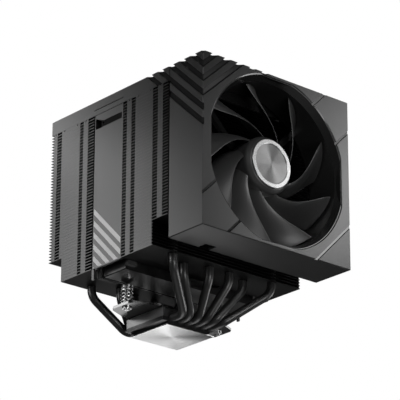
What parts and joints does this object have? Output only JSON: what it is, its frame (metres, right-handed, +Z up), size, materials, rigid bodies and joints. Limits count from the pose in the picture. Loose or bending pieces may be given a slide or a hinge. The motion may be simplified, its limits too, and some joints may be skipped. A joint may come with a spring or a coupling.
{
  "type": "cpu tower cooler",
  "caption": "Dual-tower processor heatsink with black fins, heat pipes, a cased front fan, a middle fan between the towers and a crossbar with sprung screws.",
  "frame": {"origin": "centre of the cold plate's contact face", "axes": "+Z up from the contact face to the cover, front fan towards -Y, +X to the right seen from the front"},
  "size_m": [0.1336, 0.1637, 0.16],
  "materials": {
    "black_shell": "fine matte charcoal",
    "black_fin": "satin black coated aluminium",
    "black_pipe": "gloss black coated copper",
    "black_steel": "satin black coated steel",
    "light_stripe": "matte light grey",
    "nickel": "mirror nickel plate",
    "block_metal": "satin bead-blasted aluminium",
    "spun_disc": "spun face with radial highlights",
    "steel": "bright zinc or plain steel",
    "rubber": "soft matte rubber",
    "bearing_bronze": "sintered bronze",
    "magnet": "dark ferrite",
    "copper_wire": "enamelled copper wire",
    "board": "green circuit board"
  },
  "bodies": {
    "cooler": {"bar_screws": "steel", "base_plate": "nickel", "block_screws": "steel", "casing_hooks": "black_steel", "fixing_block": "block_metal", "front_bearing": "bearing_bronze", "front_casing": "black_shell", "front_circuit_board": "board", "front_fan_bolts": "black_steel", "front_fan_frame": "black_shell", "front_fan_pads": "rubber", "front_fins": "black_fin", "front_lower_fins": "black_fin", "front_stator_core": "steel", "front_windings": "copper_wire", "heat_pipe_1": "black_pipe", "heat_pipe_2": "black_pipe", "heat_pipe_3": "black_pipe", "heat_pipe_4": "black_pipe", "heat_pipe_5": "black_pipe", "heat_pipe_6": "black_pipe", "left_fan_rail": "black_shell", "left_panel_stripes": "light_stripe", "left_side_panel": "black_shell", "left_spring": "steel", "left_washer": "steel", "magnet_keepers": "steel", "middle_bearing": "bearing_bronze", "middle_circuit_board": "board", "middle_fan_frame": "black_shell", "middle_fan_pads": "rubber", "middle_stator_core": "steel", "middle_windings": "copper_wire", "mounting_bar": "black_steel", "rear_fins": "black_fin", "rear_lower_fins": "black_fin", "right_fan_rail": "black_shell", "right_panel_stripes": "light_stripe", "right_side_panel": "black_shell", "right_spring": "steel", "right_washer": "steel"},
    "front_rotor": {"front_impeller": "black_shell", "front_hub_disc": "spun_disc", "front_hub_ring": "nickel", "front_motor_shaft": "steel", "front_magnet_ring": "magnet"},
    "middle_rotor": {"middle_impeller": "black_shell", "middle_hub_disc": "spun_disc", "middle_hub_ring": "nickel", "middle_motor_shaft": "steel", "middle_magnet_ring": "magnet"},
    "left_clip": {"left_retaining_clip": "steel"},
    "left_screw": {"left_screw_head": "steel", "left_screw_shank": "steel"},
    "right_clip": {"right_retaining_clip": "steel"},
    "right_screw": {"right_screw_head": "steel", "right_screw_shank": "steel"},
    "cover": {"top_cover": "black_shell", "cover_magnets": "magnet"}
  },
  "joints": [
    {"name": "front_fan_spin", "type": "hinge", "parent": "cooler", "child": "front_rotor", "pos_m": [0, -0.1026, 0.0978], "axis": [0, 1, 0], "continuous": true},
    {"name": "middle_fan_spin", "type": "hinge", "parent": "cooler", "child": "middle_rotor", "pos_m": [0, -0.0215, 0.0901], "axis": [0, 1, 0], "continuous": true},
    {"name": "left_screw_press", "type": "slide", "parent": "cooler", "child": "left_clip", "axis": [0, 0, -1], "range_m": [0, 0.005], "stiffness_N_per_m": 900, "springref_m": -0.002, "deforming": ["left_spring"]},
    {"name": "left_screw_turn", "type": "hinge", "parent": "left_clip", "child": "left_screw", "pos_m": [-0.0408, 0, 0.015], "axis": [0, 0, 1], "continuous": true},
    {"name": "right_screw_press", "type": "slide", "parent": "cooler", "child": "right_clip", "axis": [0, 0, -1], "range_m": [0, 0.005], "stiffness_N_per_m": 900, "springref_m": -0.002, "deforming": ["right_spring"]},
    {"name": "right_screw_turn", "type": "hinge", "parent": "right_clip", "child": "right_screw", "pos_m": [0.0408, 0, 0.015], "axis": [0, 0, 1], "continuous": true},
    {"name": "cover_lift", "type": "slide", "parent": "cooler", "child": "cover", "axis": [0, 0, 1], "range_m": [0, 0.02]}
  ]
}
